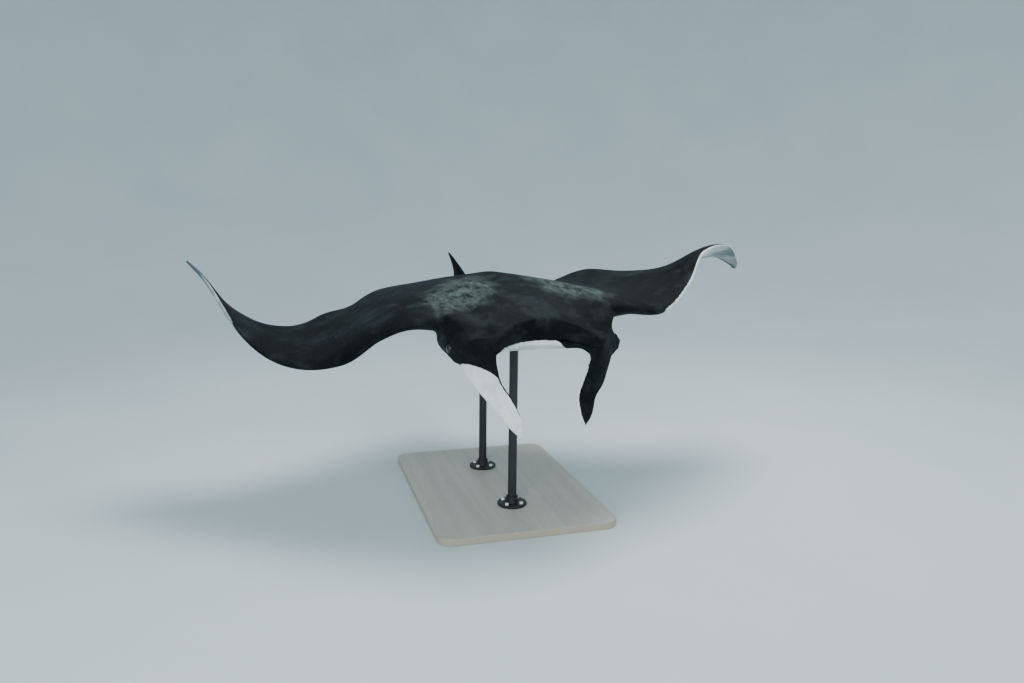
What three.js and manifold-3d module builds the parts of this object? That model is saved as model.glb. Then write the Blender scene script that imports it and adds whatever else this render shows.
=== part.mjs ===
// A reef manta ray, life-size, held by two rods over a flat base.
// Millimetres, +Z up. The animal faces -Y and its left wing is on +X.
// The origin is at the middle of the base's underside.
import * as THREE from 'three';
import { mergeVertices } from 'three/addons/utils/BufferGeometryUtils.js';
import Module from 'manifold-3d';

const wasm = await Module();
wasm.setup();

// ---------------------------------------------------------------- driving sizes

const DISC_WIDTH = 3500;       // wing tip to wing tip, with the wings laid flat
const BODY_HEIGHT = 1000;      // middle plane of the trunk above the floor
const BODY_FORWARD = 780;      // mouth line in front of the middle of the base
const SEAM = 0.4;              // gap between neighbouring parts

// Everything on the animal is a share of the disc width. X is the animal's left,
// Y runs to the tail from the mouth line, Z is up from the trunk's middle plane.
const WING_ROOT = 0.125;       // wing starts this far from the midline
const HEAD_BACK = 0.088;       // head ends this far behind the mouth line
const TRUNK_BACK = 0.468;      // tail and pelvic fins start here
const TAIL_END = 0.88;
const TAIL_JOINT = 0.64;       // between the two lengths of the tail
const HEAD_HALF_WIDTH = 0.099;
const EYE = { x: 0.1130, y: 0.040, z: -0.0210, radius: 0.0065, flatness: 0.75 };
const WING_PIVOT = 0.45;       // share of the chord that the wing twists about
const FIN_EDGE = 0.0009;       // half thickness of the wing's thin rim
const WING_END = 0.498;        // span at which the wing's tip is closed

// ---------------------------------------------------------------- small tools

// Smooth curve through points that never overshoots them, level at its start.
function curve(xs, ys) {
  const last = xs.length - 1;
  const step = xs.slice(1).map((x, i) => x - xs[i]);
  const rise = step.map((h, i) => (ys[i + 1] - ys[i]) / h);
  const slope = xs.map((_, i) => {
    if (i === 0) return 0;
    if (i === last) return rise[last - 1];
    if (rise[i - 1] * rise[i] <= 0) return 0;
    const before = 2 * step[i] + step[i - 1];
    const after = step[i] + 2 * step[i - 1];
    return (before + after) / (before / rise[i - 1] + after / rise[i]);
  });
  return (value) => {
    const x = Math.min(Math.max(value, xs[0]), xs[last]);
    let k = 0;
    while (k < last - 1 && x > xs[k + 1]) k += 1;
    const h = step[k];
    const t = (x - xs[k]) / h;
    const s = 1 - t;
    return (1 + 2 * t) * s * s * ys[k] + t * s * s * h * slope[k]
      + t * t * (3 - 2 * t) * ys[k + 1] - t * t * s * h * slope[k + 1];
  };
}

function spaced(count, from, to) {
  return Array.from({ length: count }, (_, i) => from + (to - from) * i / (count - 1));
}

// Shares of a chord, close together at both edges.
function chordShares(count) {
  return spaced(count, 0, Math.PI).map((angle) => (1 - Math.cos(angle)) / 2);
}

// Closed solid through a row of rings with the same number of points.
function loft(rings) {
  const around = rings[0].length;
  const points = rings.flat();
  const middles = [rings[0], rings[rings.length - 1]].map((ring) => [0, 1, 2].map(
    (axis) => ring.reduce((sum, p) => sum + p[axis], 0) / around));
  const firstCap = points.length;
  const lastCap = firstCap + 1;
  const faces = [];
  for (let r = 0; r + 1 < rings.length; r += 1) {
    for (let i = 0; i < around; i += 1) {
      const a = r * around + i;
      const b = r * around + (i + 1) % around;
      faces.push(a, b, b + around, a, b + around, a + around);
    }
  }
  const lastRing = (rings.length - 1) * around;
  for (let i = 0; i < around; i += 1) {
    const next = (i + 1) % around;
    faces.push(firstCap, next, i, lastCap, lastRing + i, lastRing + next);
  }
  const geometry = new THREE.BufferGeometry();
  geometry.setAttribute('position', new THREE.Float32BufferAttribute([...points, ...middles].flat(), 3));
  geometry.setIndex(faces);
  return solid(geometry);
}

// Manifold solid from a closed geometry, with its faces turned outwards.
function solid(geometry) {
  const bare = geometry.clone();
  bare.deleteAttribute('normal');
  bare.deleteAttribute('uv');
  const merged = mergeVertices(bare, 1e-5);
  const vertProperties = new Float32Array(merged.attributes.position.array);
  const triVerts = new Uint32Array(merged.index.array);
  if (signedVolume(vertProperties, triVerts) < 0) triVerts.reverse();
  return new wasm.Manifold(new wasm.Mesh({ numProp: 3, vertProperties, triVerts }));
}

function signedVolume(xyz, triangles) {
  const [a, b, c] = [new THREE.Vector3(), new THREE.Vector3(), new THREE.Vector3()];
  let volume = 0;
  for (let i = 0; i < triangles.length; i += 3) {
    a.fromArray(xyz, 3 * triangles[i]);
    b.fromArray(xyz, 3 * triangles[i + 1]);
    c.fromArray(xyz, 3 * triangles[i + 2]);
    volume += a.dot(b.cross(c)) / 6;
  }
  return volume;
}

// The two sides of a solid at a plane, a seam apart: [side the normal points to, other side].
function part(body, normal, offset) {
  const back = normal.map((n) => -n);
  return [body.trimByPlane(normal, offset + SEAM / 2), body.trimByPlane(back, -offset + SEAM / 2)];
}

// From shares of the disc width to millimetres over the base.
function place([x, y, z]) {
  return [x * DISC_WIDTH, y * DISC_WIDTH - BODY_FORWARD, z * DISC_WIDTH + BODY_HEIGHT];
}

const radians = THREE.MathUtils.degToRad;
const smoothstep = THREE.MathUtils.smoothstep;

// ---------------------------------------------------------------- disc: trunk and wings

// Outline and thickness of the flat disc against the span from the midline.
const leadingEdge = curve(
  [0, .06, .10, .15, .20, .25, .30, .35, .40, .44, .47, .49, .50],
  [.045, .050, .056, .062, .076, .099, .131, .171, .217, .264, .307, .341, .366]);
const trailingEdge = curve(
  [0, .04, .08, .13, .20, .27, .34, .40, .44, .47, .49, .50],
  [.462, .455, .438, .412, .372, .343, .328, .326, .331, .343, .356, .366]);
const depthAbove = curve(
  [0, .02, .04, .08, .12, .16, .20, .25, .30, .35, .40, .45, .50],
  [.0535, .0510, .0475, .038, .026, .0185, .0145, .0115, .0090, .0068, .0048, .0030, .0010]);
const depthBelow = curve(
  [0, .04, .08, .12, .16, .20, .25, .30, .35, .40, .45, .50],
  [.048, .046, .038, .0215, .0130, .0100, .0080, .0062, .0048, .0034, .0020, .0007]);
const fullness = curve([0, .06, .11, .17, .50], [1, .85, .35, 0, 0]);

// Height of the section over its mid line: a full body at the trunk, a thin fin outboard.
function sectionHeight(span, share, above) {
  const fin = 10 * (.2969 * Math.sqrt(share) - .126 * share - .3516 * share ** 2
    + .2843 * share ** 3 - .1036 * share ** 4);
  const body = Math.max(Math.sin(Math.PI * share ** .8), 0) ** .72;
  const full = fullness(span);
  const rim = FIN_EDGE * Math.sqrt(1 - Math.abs(2 * share - 1) ** 14);
  const depth = above ? depthAbove(span) : depthBelow(span);
  return depth * ((1 - full) * fin + full * body) + rim;
}

// Pose of a wing along its span: bend lifts it outboard, twist lifts its rear edge, both in
// degrees, and noseLift raises its leading edge.
const POSE_SPANS = [0, .08, .14, .20, .26, .32, .38, .44, .50];
const WING_POSES = {
  left: {
    side: 1,
    bend: [0, 5, 10, 16, 21, 21.5, -3, -21, -22],
    twist: [0, -1.5, 1.6, 6.7, -1.5, -17.3, -14.4, 2, 4],
    noseLift: [0, .012, .0135, .003, 0, 0, 0, 0, 0],
  },
  right: {
    side: -1,
    bend: [0, 7, -3, -29.5, -22, 8.5, 39, 52.5, 33],
    twist: [0, 2, 1.7, 1.2, 7.3, 7.4, 3.6, -4.6, -12],
    noseLift: [0, .004, .004, .001, 0, 0, 0, 0, 0],
  },
};

// The wing's mid line, bent, as steps along the span; then a flat point carried with it.
function wingMover({ side, bend, twist, noseLift }) {
  const steps = 1000;
  const bendAt = curve(POSE_SPANS, bend.map(radians));
  const twistAt = curve(POSE_SPANS, twist.map(radians));
  const liftAt = curve(POSE_SPANS, noseLift);
  const line = [[0, 0]];
  for (let i = 0; i < steps; i += 1) {
    const angle = bendAt((i + .5) / steps * .5);
    const [x, z] = line[i];
    line.push([x + Math.cos(angle) * .5 / steps, z + Math.sin(angle) * .5 / steps]);
  }
  return (span, share, height) => {
    const [front, back] = [leadingEdge(span), trailingEdge(span)];
    const pivot = front + (back - front) * WING_PIVOT;
    const y = front + (back - front) * share;
    const z = height + liftAt(span) * (1 - share) ** 3;
    const [lift, turn] = [bendAt(span), twistAt(span)];
    const along = (y - pivot) * Math.cos(turn) - z * Math.sin(turn);
    const over = (y - pivot) * Math.sin(turn) + z * Math.cos(turn);
    const [lineX, lineZ] = line[Math.round(span / .5 * steps)];
    return [side * (lineX - over * Math.sin(lift)), pivot + along, lineZ + over * Math.cos(lift)];
  };
}

function makeDisc() {
  const shares = chordShares(14);
  const stations = spaced(23, 0, WING_END);
  const ring = (move, span) => {
    const point = (share, above) => place(
      move(span, share, (above ? 1 : -1) * sectionHeight(span, share, above)));
    return [...shares.map((share) => point(share, true)),
      ...shares.slice(1, -1).reverse().map((share) => point(share, false))];
  };
  const left = wingMover(WING_POSES.left);
  const right = wingMover(WING_POSES.right);
  return loft([
    ...stations.slice(1).reverse().map((span) => ring(right, span)),
    ...stations.map((span) => ring(left, span))]);
}

// ---------------------------------------------------------------- head

// Crown and throat on the midline, against the distance behind the mouth line.
const crown = curve([0, .02, .05, .09, .13, .18], [.019, .0235, .0305, .0395, .0460, .0500]);
const throat = curve([.01, .03, .06, .11, .18], [-.0225, -.0255, -.031, -.039, -.047]);

// Front of the head against the distance from the midline: the lip lies back and arches up
// in the middle, and the brow sinks towards the roots of the head fins.
const lipFront = curve(
  [0, .02, .04, .055, .064, .075, .09, .10],
  [.022, .0188, .0095, -.001, -.007, -.005, .008, .020]);
const lipEdge = curve([0, .02, .04, .055, .064, .10], [-.0105, -.0112, -.0135, -.0160, -.0180, -.0200]);
const browEdge = curve([0, .03, .053, .069, .090, .10], [.0185, .0150, .0070, -.0035, -.0090, -.0120]);
const jawEdge = curve([0, .05, .064, .10], [-.0212, -.0216, -.0230, -.0240]);

// Sagittal slice of the head: from the nape over the brow, lip and mouth to the throat.
function headSlice(x) {
  const out = Math.abs(x);
  const [front, lip, jaw, browZ] = [lipFront(out), lipEdge(out), jawEdge(out), browEdge(out)];
  const top = (y) => {
    const back = smoothstep(y, front, front + .055);
    const fall = .013 + .007 * smoothstep(y, .05, .13);
    const flank = crown(y) - fall * (out / HEAD_HALF_WIDTH) ** 2.2;
    return browZ + (flank - browZ) * back;
  };
  const slit = 1.02 - smoothstep(out, .056, .070);   // closes towards its corners
  const slice = [
    [.180, top(.18)], [.130, top(.13)], [.090, top(.09)], [.060, top(.06)],
    [front + .030, top(front + .03)], [front + .014, top(front + .014)],
    [front + .004, browZ - .0003], [front - .0005, browZ - (browZ - lip) * .12],
    [front - .002, browZ - (browZ - lip) * .40], [front - .001, browZ - (browZ - lip) * .75],
    [front + .001, lip + .0006], [front + .003, lip - .0006 * slit],
    [front + .003 + .010 * slit, lip], [front + .003 + .010 * slit, lip - .0018 * slit],
    [front + .004 + .002 * slit, lip - .0024 * slit], [front + .0045, (lip + jaw) / 2 - .001],
    [front + .007, jaw + .0008], [front + .013, jaw - .0006],
    [front + .030, throat(front + .03)], [.075, throat(.075)], [.110, throat(.11)], [.180, throat(.18)],
  ];
  const round = Math.sqrt(Math.max(1 - (out / HEAD_HALF_WIDTH) ** 8, 0));
  const middle = -.014;
  return slice.map(([y, z]) => place([x, y + (1 - round) * .02, middle + (z - middle) * round]));
}

function makeHeadCore() {
  const widest = Math.PI / 2 * .9;
  const xs = spaced(19, -widest, widest).map((t) => HEAD_HALF_WIDTH * Math.sin(t));
  return loft(xs.map(headSlice));
}

// Flank of the head, against the distance behind the mouth line. Seen from the front its outline
// goes from the ridge in to a waist, out to the eye swelling and in again to the sole.
const FLANK_Y = [.012, .020, .030, .040, .050, .062, .085, .115, .150];
const ridgeX = curve(FLANK_Y, [.081, .0895, .0985, .1065, .1125, .1165, .1185, .113, .098]);
const ridgeZ = curve(FLANK_Y, [-.009, -.001, .0085, .0150, .0180, .0195, .0205, .020, .014]);
const waistX = curve(FLANK_Y, [.085, .0930, .1010, .1055, .1085, .1125, .1175, .112, .097]);
const waistZ = curve(FLANK_Y, [-.014, -.010, -.0055, -.0035, -.0030, -.0030, -.0030, -.002, 0]);
const swellingX = curve(FLANK_Y, [.088, .0985, .1110, .1180, .1165, .1150, .1205, .110, .094]);
const swellingZ = curve(FLANK_Y, [-.0213, -.0220, -.0220, -.0215, -.0205, -.0200, -.0200, -.018, -.012]);
const soleX = curve(FLANK_Y, [.082, .0910, .0990, .1035, .1045, .1050, .1060, .095, .084]);
const soleZ = curve(FLANK_Y, [-.033, -.0380, -.0410, -.0415, -.0405, -.0390, -.0380, -.034, -.022]);

function makeFlank(side) {
  const stations = [.012, .018, .025, .032, .040, .048, .056, .065, .078, .095, .120, .150];
  return loft(stations.map((y) => {
    const [ridge, sole] = [ridgeZ(y), soleZ(y)];
    const outline = [
      [.050, ridge - .012], [.068, ridge - .002], [ridgeX(y) - .016, ridge + .002],
      [ridgeX(y), ridge - .003], [waistX(y), waistZ(y)], [swellingX(y), swellingZ(y)],
      [soleX(y), sole], [soleX(y) - .018, sole + .003], [.050, -.018],
    ].map(([x, z]) => new THREE.Vector3(side * x, y, z));
    return new THREE.CatmullRomCurve3(outline, false, 'catmullrom').getSpacedPoints(15)
      .map((p) => place(p.toArray()));
  }));
}

// Eyeball, or its socket when it is made larger by some millimetres all round.
function makeEye(side, larger = 0) {
  const radius = EYE.radius * DISC_WIDTH + larger;
  const ball = new THREE.SphereGeometry(radius, 12, 6);
  ball.scale(EYE.flatness, 1, 1);
  ball.translate(...place([side * EYE.x, EYE.y, EYE.z]));
  return solid(ball);
}

// ---------------------------------------------------------------- fins

// Blade along a line of stations, each with a middle, a chord vector, a face vector and sizes.
function bladeRings(stations, count = 8) {
  const shares = chordShares(count + 1);
  return stations.map(({ middle, chord, face, width, depth, cup = 0 }) => {
    const point = (share, up) => {
      const across = (share - .5) * width;
      const bow = cup * (1 - (2 * share - 1) ** 2);
      const over = up * depth / 2 * Math.sqrt(Math.max(1 - (2 * share - 1) ** 2, 0)) + bow;
      return place(middle.map((m, i) => m + chord[i] * across + face[i] * over));
    };
    return [...shares.map((share) => point(share, 1)),
      ...shares.slice(1, -1).reverse().map((share) => point(share, -1))];
  });
}

// Middle lines of the two head fins, from inside the head to the tip.
const CEPHALIC_LINES = {
  left: [[.0790, .022, -.010], [.0810, .0125, -.028], [.0740, .0060, -.0500], [.0600, -.006, -.0650],
    [.0500, -.0150, -.0800], [.0450, -.026, -.0960], [.0410, -.035, -.1105]],
  right: [[-.0800, .022, -.010], [-.0835, .0125, -.031], [-.0770, .0060, -.0515], [-.0690, 0, -.0670],
    [-.0582, -.0100, -.0830], [-.0482, -.0225, -.1010], [-.0405, -.035, -.1205]],
};
const CEPHALIC_NECK = .36;       // share of the fin's length that belongs to the head
const CEPHALIC_SPANS = [0, .18, .34, .50, .70, .88, 1];
const cephalicWidth = {        // the right fin is rolled up further, so its blade is narrower
  left: curve(CEPHALIC_SPANS, [.054, .051, .042, .036, .032, .022, .004]),
  right: curve(CEPHALIC_SPANS, [.054, .051, .040, .0295, .0255, .0175, .003]),
};
const cephalicDepth = curve([0, .18, .34, .50, .75, 1], [.028, .019, .011, .0075, .0055, .0028]);
const cephalicTurn = curve([0, .2, .5, 1], [48, 42, 28, 20]);   // degrees of the chord from X

function makeCephalicFin(name) {
  const side = Math.sign(CEPHALIC_LINES[name][0][0]);
  const line = new THREE.CatmullRomCurve3(CEPHALIC_LINES[name].map((p) => new THREE.Vector3(...p)));
  const stations = spaced(15, 0, 1).map((t) => {
    const axis = line.getTangentAt(t);
    const turn = radians(cephalicTurn(t));
    const chord = new THREE.Vector3(side * Math.cos(turn), Math.sin(turn), -.25 * (1 - t));
    chord.addScaledVector(axis, -chord.dot(axis)).normalize();
    const face = new THREE.Vector3().crossVectors(axis, chord).multiplyScalar(side);
    return {
      middle: line.getPointAt(t).toArray(), chord: chord.toArray(), face: face.toArray(),
      width: cephalicWidth[name](t), depth: cephalicDepth(t), cup: -.004 * Math.sin(Math.PI * t),
    };
  });
  const neck = line.getTangentAt(CEPHALIC_NECK);
  const root = line.getPointAt(CEPHALIC_NECK);
  const [blade, stump] = part(loft(bladeRings(stations)), neck.toArray(),
    neck.dot(new THREE.Vector3(...place(root.toArray()))));
  return { blade, stump };
}

// The fin leans over and its rear swings towards the animal's right.
function makeDorsalFin() {
  const height = .054;
  const stations = spaced(9, 0, 1).map((t) => {
    const front = .392 + .076 * t ** 1.25;
    const back = .466 + .010 * t ** 2 - .007 * Math.sin(Math.PI * t);
    const middle = (front + back) / 2;
    return {
      middle: [-.20 * (middle - .398) - .007 * t ** 1.3, middle, .012 + height * t],
      chord: [-.20, 1, 0], face: [1, .20, 0],
      width: back - front, depth: .010 * (1 - t) ** .8 + .0016,
    };
  });
  const slope = new THREE.Vector3(0, .25, 1).normalize();
  return part(loft(bladeRings(stations)), slope.toArray(),
    slope.dot(new THREE.Vector3(...place([0, .400, .0335]))));
}

function makePelvicFin(side) {
  const width = curve([0, .5, .85, 1], [.030, .028, .017, .004]);
  const stations = spaced(9, 0, 1).map((t) => ({
    middle: [side * (.023 + .014 * t), .420 + .080 * t, .002 - .006 * t],
    chord: [1, 0, 0], face: [0, 0, 1], width: width(t), depth: .013 * (1 - t) + .0022,
  }));
  return part(loft(bladeRings(stations, 7)), [0, 1, 0], place([0, TRUNK_BACK, 0])[1]);
}

// ---------------------------------------------------------------- tail

const tailRadius = curve([0, .08, .2, .5, 1], [.0150, .0105, .0062, .0034, .0013]);

function makeTail() {
  const start = .40;
  const around = 8;
  return loft(spaced(27, 0, 1).map((t) => {
    const y = start + (TAIL_END - start) * t;
    const x = -.05 * t ** 1.5 * (1 - .6 * t);
    const z = .012 - .066 * t ** 1.6;
    return Array.from({ length: around }, (_, i) => {
      const angle = i / around * 2 * Math.PI;
      return place([x + tailRadius(t) * Math.cos(angle), y, z + .9 * tailRadius(t) * Math.sin(angle)]);
    });
  }));
}

// ---------------------------------------------------------------- stand

const BASE = { length: 1300, width: 900, thickness: 36, corner: 70, bevel: 4 };
const ROD = { radius: 22, front: -300, rear: 300 };
const FLANGE = { radius: 75, thickness: 12, neckRadius: 30, neckHeight: 45 };
const SCREW = { radius: 9, height: 8, sunk: 2, circle: 54, count: 4 };

function makeBase() {
  const [w, l, r] = [BASE.width / 2 - BASE.bevel, BASE.length / 2 - BASE.bevel, BASE.corner];
  const outline = new THREE.Shape();
  outline.absarc(w - r, l - r, r, 0, Math.PI / 2);
  outline.absarc(-w + r, l - r, r, Math.PI / 2, Math.PI);
  outline.absarc(-w + r, -l + r, r, Math.PI, 1.5 * Math.PI);
  outline.absarc(w - r, -l + r, r, 1.5 * Math.PI, 2 * Math.PI);
  const plate = new THREE.ExtrudeGeometry(outline, {
    depth: BASE.thickness - 2 * BASE.bevel, bevelEnabled: true, bevelSize: BASE.bevel,
    bevelThickness: BASE.bevel, bevelSegments: 1, curveSegments: 5,
  });
  plate.translate(0, 0, BASE.bevel);
  return solid(plate);
}

// Turned foot that the rod is screwed into, with the cap screws that hold it to the base.
function makeFlange(y) {
  const bottom = BASE.thickness + SEAM;
  const inner = ROD.radius + SEAM;
  const profile = [
    [inner, 0], [FLANGE.radius - 1.5, 0], [FLANGE.radius, 1.5], [FLANGE.radius, FLANGE.thickness - 2],
    [FLANGE.radius - 2, FLANGE.thickness], [FLANGE.neckRadius + 5, FLANGE.thickness],
    [FLANGE.neckRadius, FLANGE.thickness + 5], [FLANGE.neckRadius, FLANGE.neckHeight - 2],
    [FLANGE.neckRadius - 2, FLANGE.neckHeight], [inner, FLANGE.neckHeight], [inner, 0],
  ].map(([r, z]) => new THREE.Vector2(r, z));
  const turned = new THREE.LatheGeometry(profile, 20).rotateX(Math.PI / 2).translate(0, y, bottom);
  let flange = solid(turned);
  const screwMiddle = bottom + FLANGE.thickness + (SCREW.height - SCREW.sunk) / 2;
  for (let k = 0; k < SCREW.count; k += 1) {
    const angle = (k + .5) / SCREW.count * 2 * Math.PI;
    const head = new THREE.CylinderGeometry(SCREW.radius, SCREW.radius, SCREW.height + SCREW.sunk, 8);
    head.rotateX(Math.PI / 2);
    head.translate(SCREW.circle * Math.cos(angle), y + SCREW.circle * Math.sin(angle), screwMiddle);
    flange = flange.add(solid(head));
  }
  return flange;
}

// Rod from the base up to the belly, its top cut to the belly's shape.
function makeRod(y, body) {
  const bottom = BASE.thickness + SEAM;
  const rod = new THREE.CylinderGeometry(ROD.radius, ROD.radius, BODY_HEIGHT - bottom, 24);
  rod.rotateX(Math.PI / 2).translate(0, y, (BODY_HEIGHT + bottom) / 2);
  return solid(rod).subtract(body.translate([0, 0, -SEAM]));
}

// ---------------------------------------------------------------- assembly

const skinDark = new THREE.MeshStandardMaterial({ color: 0x14181a, roughness: .45, metalness: 0 });
const skinPale = new THREE.MeshStandardMaterial({ color: 0xc9d3d3, roughness: .5, metalness: 0 });
const eyeGloss = new THREE.MeshStandardMaterial({ color: 0x0b0c0d, roughness: .1, metalness: 0 });
const steelPaint = new THREE.MeshStandardMaterial({ color: 0x2b2d2f, roughness: .4, metalness: .6 });
const baseBoard = new THREE.MeshStandardMaterial({ color: 0xb9b4aa, roughness: .5, metalness: 0 });

const group = new THREE.Group();

function addPart(name, body, material) {
  const { vertProperties, triVerts, numProp } = body.getMesh();
  if (numProp !== 3) throw new Error(`${name} carries more than positions`);
  const geometry = new THREE.BufferGeometry();
  geometry.setAttribute('position', new THREE.BufferAttribute(vertProperties, 3));
  geometry.setIndex(new THREE.BufferAttribute(triVerts, 1));
  geometry.computeVertexNormals();
  const mesh = new THREE.Mesh(geometry, material);
  mesh.name = name;
  group.add(mesh);
}

const sides = { left: 1, right: -1 };
const cephalic = { left: makeCephalicFin('left'), right: makeCephalicFin('right') };
const pelvic = { left: makePelvicFin(1), right: makePelvicFin(-1) };
const [dorsalFin, dorsalRoot] = makeDorsalFin();
const [tail, tailRoot] = part(makeTail(), [0, 1, 0], place([0, TRUNK_BACK, 0])[1]);
const [tailTip, tailBase] = part(tail, [0, 1, 0], place([0, TAIL_JOINT, 0])[1]);

let flesh = makeDisc().add(makeHeadCore()).add(dorsalRoot).add(tailRoot);
for (const [name, side] of Object.entries(sides)) {
  flesh = flesh.add(makeFlank(side)).add(cephalic[name].stump).add(pelvic[name][1]);
}
for (const [name, side] of Object.entries(sides)) {
  flesh = flesh.subtract(makeEye(side, SEAM));
  addPart(`eye_${name}`, makeEye(side), eyeGloss);
}

const rootX = WING_ROOT * DISC_WIDTH;
const [wingLeft, withoutLeft] = part(flesh, [1, 0, 0], rootX);
const [wingRight, middle] = part(withoutLeft, [-1, 0, 0], rootX);
const [trunk, head] = part(middle, [0, 1, 0], place([0, HEAD_BACK, 0])[1]);

addPart('head', head, skinDark);
addPart('trunk', trunk, skinDark);
addPart('wing_left', wingLeft, skinDark);
addPart('wing_right', wingRight, skinDark);
addPart('tail_base', tailBase, skinDark);
addPart('tail_tip', tailTip, skinDark);
addPart('dorsal_fin', dorsalFin, skinDark);
for (const name of Object.keys(sides)) {
  addPart(`cephalic_fin_${name}`, cephalic[name].blade, skinPale);
  addPart(`pelvic_fin_${name}`, pelvic[name][0], skinPale);
}
addPart('stand_base', makeBase(), baseBoard);
for (const [name, y] of [['front', ROD.front], ['rear', ROD.rear]]) {
  addPart(`stand_flange_${name}`, makeFlange(y), steelPaint);
  addPart(`stand_rod_${name}`, makeRod(y, flesh), steelPaint);
}

export default group;
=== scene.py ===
# A life-size reef manta ray on a display stand: one skin over the animal, its eyes, and the stand.
# The animal faces -Y, its left wing is on +X, and the floor is at Z = 0. Lengths are in metres.
import math

import bpy
import numpy as np
from mathutils import Matrix, Vector


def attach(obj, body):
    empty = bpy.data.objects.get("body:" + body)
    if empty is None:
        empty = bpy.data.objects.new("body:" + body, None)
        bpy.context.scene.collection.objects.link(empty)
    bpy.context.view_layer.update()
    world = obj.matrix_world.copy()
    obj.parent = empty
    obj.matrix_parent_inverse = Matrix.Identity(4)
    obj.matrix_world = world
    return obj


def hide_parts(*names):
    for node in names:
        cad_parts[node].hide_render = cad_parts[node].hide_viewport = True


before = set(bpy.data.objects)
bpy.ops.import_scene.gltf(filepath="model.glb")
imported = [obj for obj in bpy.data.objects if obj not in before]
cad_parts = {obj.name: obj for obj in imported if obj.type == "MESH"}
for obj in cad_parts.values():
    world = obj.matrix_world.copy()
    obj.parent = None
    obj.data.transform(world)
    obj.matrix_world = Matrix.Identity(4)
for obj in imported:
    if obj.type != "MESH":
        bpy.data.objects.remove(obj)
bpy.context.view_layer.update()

# ---------------------------------------------------------------- trunk and wings
# The disc of the ray: a thick muscular trunk that thins out sideways into two wide, limber wings.
# It is drawn flat, as rings round its section, and each wing is then bent and twisted into its stroke.

DISC_WIDTH = 3.5  # wing tip to wing tip, with the wings laid flat
BODY_FORWARD = 0.78  # mouth line in front of the middle of the base
BODY_HEIGHT = 1.0  # middle plane of the trunk above the floor
WING_ROOT = 0.125  # from here on all sizes of the animal are shares of the disc width
WING_END = 0.499  # the last ring, just short of the pointed tip
WING_PIVOT = 0.45
FIN_EDGE = 0.0009


def curve(xs, ys):
    """Smooth curve through points that never overshoots them, level at its start."""
    xs = np.array(xs, float)
    ys = np.array(ys, float)
    step = np.diff(xs)
    rise = np.diff(ys) / step
    slope = np.zeros(len(xs))
    slope[-1] = rise[-1]
    for i in range(1, len(step)):
        if rise[i - 1] * rise[i] > 0:
            before = 2 * step[i] + step[i - 1]
            after = step[i] + 2 * step[i - 1]
            slope[i] = (before + after) / (before / rise[i - 1] + after / rise[i])

    def at(value):
        x = np.clip(value, xs[0], xs[-1])
        k = np.clip(np.searchsorted(xs, x, side="right") - 1, 0, len(step) - 1)
        h = step[k]
        t = (x - xs[k]) / h
        start = (1 + 2 * t) * (1 - t) ** 2 * ys[k] + t * (1 - t) ** 2 * h * slope[k]
        return start + t * t * (3 - 2 * t) * ys[k + 1] - t * t * (1 - t) * h * slope[k + 1]

    return at


def smoothstep(value, low, high):
    t = np.clip((value - low) / (high - low), 0, 1)
    return t * t * (3 - 2 * t)


def place(points):
    """From shares of the disc width to metres over the base."""
    return np.asarray(points) * DISC_WIDTH + (0, -BODY_FORWARD, BODY_HEIGHT)


def mesh_object(name, points, faces):
    mesh = bpy.data.meshes.new(name)
    mesh.from_pydata(np.asarray(points).tolist(), [], faces)
    made = bpy.data.objects.new(name, mesh)
    bpy.context.scene.collection.objects.link(made)
    return made


def loft(name, rings):
    """Closed solid through rings of equal numbers of points, with its faces turned outwards."""
    rings = np.asarray(rings, float)
    count, around, _ = rings.shape
    points = np.concatenate([rings.reshape(-1, 3), rings[[0, -1]].mean(1)])
    r, i = np.meshgrid(np.arange(count - 1), np.arange(around), indexing="ij")
    a = (r * around + i).ravel()
    b = (r * around + (i + 1) % around).ravel()
    quads = np.stack([a, b, b + around, a + around], 1)
    i = np.arange(around)
    j = (i + 1) % around
    first, last = count * around, (count - 1) * around
    front_cap = np.stack([np.full(around, first), j, i], 1)
    back_cap = np.stack([np.full(around, first + 1), last + i, last + j], 1)
    triangles = np.concatenate([quads[:, :3], quads[:, [0, 2, 3]], front_cap, back_cap])
    p, q, s = (points[triangles[:, k]] for k in range(3))
    made = mesh_object(name, points, quads.tolist() + front_cap.tolist() + back_cap.tolist())
    if (p * np.cross(q, s)).sum() < 0:
        made.data.flip_normals()
    return made


leading_edge = curve(
    [0, .06, .10, .15, .20, .25, .30, .35, .40, .44, .47, .49, .50],
    [.045, .050, .056, .062, .076, .099, .131, .171, .217, .264, .307, .341, .366])
trailing_edge = curve(
    [0, .04, .08, .13, .20, .27, .34, .40, .44, .47, .49, .50],
    [.462, .455, .438, .412, .372, .343, .328, .326, .331, .343, .356, .366])
depth_above = curve(
    [0, .02, .04, .08, .12, .16, .20, .25, .30, .35, .40, .45, .50],
    [.0535, .0510, .0475, .038, .026, .0185, .0145, .0115, .0090, .0068, .0048, .0030, .0010])
depth_below = curve(
    [0, .04, .08, .12, .16, .20, .25, .30, .35, .40, .45, .50],
    [.048, .046, .038, .0215, .0130, .0100, .0080, .0062, .0048, .0034, .0020, .0007])
fullness = curve([0, .06, .11, .17, .50], [1, .85, .35, 0, 0])


def section_height(span, share, above):
    """Height over the mid line: a full body at the trunk, a thin fin outboard."""
    fin = 10 * (.2969 * np.sqrt(share) - .126 * share - .3516 * share ** 2
                + .2843 * share ** 3 - .1036 * share ** 4)
    body = np.maximum(np.sin(np.pi * share ** .8), 0) ** .72
    rim = FIN_EDGE * np.sqrt(1 - np.abs(2 * share - 1) ** 20)
    depth = depth_above(span) if above else depth_below(span)
    full = fullness(span)
    return depth * ((1 - full) * fin + full * body) + rim


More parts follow.
